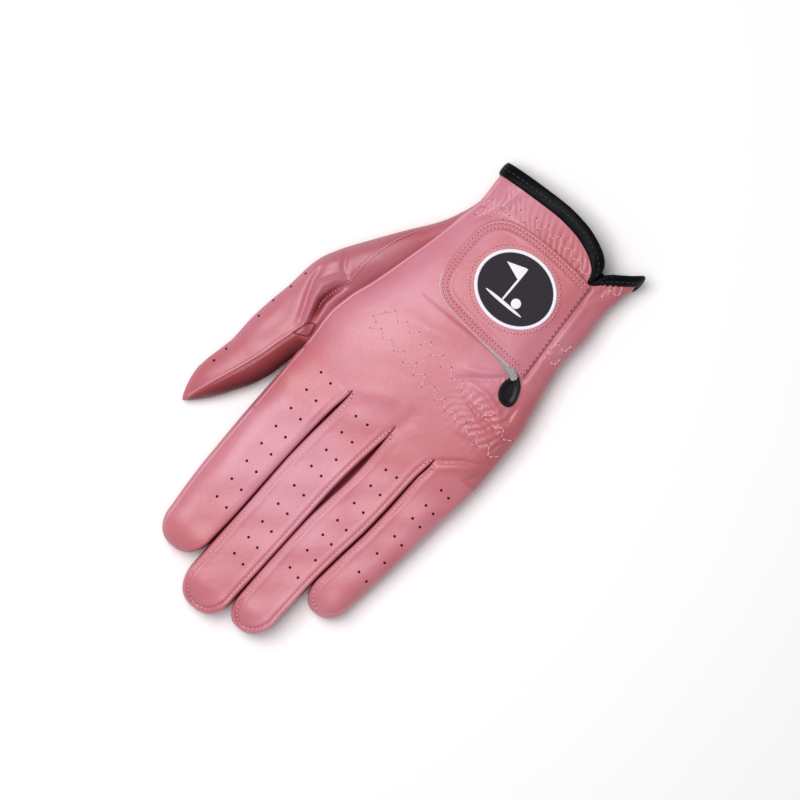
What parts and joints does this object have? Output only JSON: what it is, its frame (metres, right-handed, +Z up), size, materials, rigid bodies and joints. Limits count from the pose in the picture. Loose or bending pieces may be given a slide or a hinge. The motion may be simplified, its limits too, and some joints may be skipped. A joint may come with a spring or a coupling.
{
  "type": "golf glove",
  "caption": "Left-hand golf glove of thin leather with a closure tab on the back, bound wrist, elastic knuckles and bending fingers.",
  "frame": {"origin": "under the middle of the glove's bounding box, on the table it lies on", "axes": "+Y from the wrist to the fingertips, +X towards the thumb, +Z up out of the back of the hand"},
  "size_m": [0.1208, 0.2252, 0.0287],
  "materials": {
    "glove_leather": "soft rose-pink cabretta leather with a fine grain",
    "palm_leather": "rose-pink palm leather, slightly deeper in tone",
    "gusset_leather": "rose-pink gusset leather, creased",
    "binding_tape": "near-black satin binding tape",
    "slit_trim_leather": "turned and stitched rose-pink leather edge",
    "stop_rubber": "matte near-black moulded rubber",
    "loop_pile": "light grey loop pile",
    "hook_tape": "light grey hook tape",
    "lining_fabric": "cream lining with a raw edge",
    "badge_black": "near-black woven badge",
    "badge_white": "white embroidered border",
    "emblem_white": "white embroidered flag and ball",
    "elastic": "pale pink woven elastic"
  },
  "bodies": {
    "hand": {"back_panel": "glove_leather", "knuckle_elastic": "elastic", "loop_patch": "loop_pile", "palm_panel": "palm_leather", "slit_stop": "stop_rubber", "slit_trim": "slit_trim_leather", "tab_seam_welt": "slit_trim_leather", "thumb_gusset": "gusset_leather", "wrist_binding": "binding_tape", "wrist_elastic": "elastic"},
    "tab": {"badge_ball": "emblem_white", "badge_face": "badge_black", "badge_flag": "emblem_white", "badge_ring": "badge_white", "hook_patch": "hook_tape", "tab_leather": "glove_leather", "tab_lining": "lining_fabric"},
    "index_lower": {"index_lower_back": "glove_leather", "index_lower_fourchette_little_side": "gusset_leather", "index_lower_palm": "palm_leather"},
    "index_upper": {"index_upper_back": "glove_leather", "index_upper_fourchette_little_side": "gusset_leather", "index_upper_palm": "palm_leather"},
    "little_lower": {"little_lower_back": "glove_leather", "little_lower_fourchette_thumb_side": "gusset_leather", "little_lower_palm": "palm_leather"},
    "little_upper": {"little_upper_back": "glove_leather", "little_upper_fourchette_thumb_side": "gusset_leather", "little_upper_palm": "palm_leather"},
    "middle_lower": {"middle_lower_back": "glove_leather", "middle_lower_fourchette_little_side": "gusset_leather", "middle_lower_fourchette_thumb_side": "gusset_leather", "middle_lower_palm": "palm_leather"},
    "middle_upper": {"middle_upper_back": "glove_leather", "middle_upper_fourchette_little_side": "gusset_leather", "middle_upper_fourchette_thumb_side": "gusset_leather", "middle_upper_palm": "palm_leather"},
    "ring_lower": {"ring_lower_back": "glove_leather", "ring_lower_fourchette_little_side": "gusset_leather", "ring_lower_fourchette_thumb_side": "gusset_leather", "ring_lower_palm": "palm_leather"},
    "ring_upper": {"ring_upper_back": "glove_leather", "ring_upper_fourchette_little_side": "gusset_leather", "ring_upper_fourchette_thumb_side": "gusset_leather", "ring_upper_palm": "palm_leather"},
    "thumb_lower": {"thumb_lower_back": "glove_leather", "thumb_lower_palm": "palm_leather"},
    "thumb_upper": {"thumb_upper_back": "glove_leather", "thumb_upper_palm": "palm_leather"}
  },
  "joints": [
    {"name": "index_knuckle_bend", "type": "hinge", "parent": "hand", "child": "index_lower", "pos_m": [0.01946, 0.01219, 0.009], "axis": [-0.9999, 0.0122, 0], "range_deg": [-10, 75]},
    {"name": "index_middle_bend", "type": "hinge", "parent": "index_lower", "child": "index_upper", "pos_m": [0.01994, 0.05118, 0.009], "axis": [-0.9999, 0.0122, 0], "range_deg": [0, 80]},
    {"name": "middle_knuckle_bend", "type": "hinge", "parent": "hand", "child": "middle_lower", "pos_m": [-0.00664, 0.01219, 0.009], "axis": [-0.9992, 0.0401, 0], "range_deg": [-10, 75]},
    {"name": "middle_middle_bend", "type": "hinge", "parent": "middle_lower", "child": "middle_upper", "pos_m": [-0.00483, 0.05715, 0.009], "axis": [-0.9992, 0.0401, 0], "range_deg": [0, 80]},
    {"name": "ring_knuckle_bend", "type": "hinge", "parent": "hand", "child": "ring_lower", "pos_m": [-0.02834, 0.01219, 0.009], "axis": [-0.9987, 0.0506, 0], "range_deg": [-10, 75]},
    {"name": "ring_middle_bend", "type": "hinge", "parent": "ring_lower", "child": "ring_upper", "pos_m": [-0.02616, 0.05513, 0.009], "axis": [-0.9987, 0.0506, 0], "range_deg": [0, 80]},
    {"name": "little_knuckle_bend", "type": "hinge", "parent": "hand", "child": "little_lower", "pos_m": [-0.04874, 0.01219, 0.0084], "axis": [-0.9972, 0.075, 0], "range_deg": [-10, 75]},
    {"name": "little_middle_bend", "type": "hinge", "parent": "little_lower", "child": "little_upper", "pos_m": [-0.04649, 0.0421, 0.0084], "axis": [-0.9972, 0.075, 0], "range_deg": [0, 80]},
    {"name": "thumb_knuckle_bend", "type": "hinge", "parent": "hand", "child": "thumb_lower", "pos_m": [0.04556, -0.01681, 0.009], "axis": [-0.989, 0.1478, 0], "range_deg": [-15, 40]},
    {"name": "thumb_middle_bend", "type": "hinge", "parent": "thumb_lower", "child": "thumb_upper", "pos_m": [0.05, 0.01286, 0.009], "axis": [-0.989, 0.1478, 0], "range_deg": [0, 60]},
    {"name": "tab_open", "type": "hinge", "parent": "hand", "child": "tab", "pos_m": [-0.04444, -0.07131, 0.02335], "axis": [0, -0.998, -0.0636], "range_deg": [0, 160]}
  ]
}
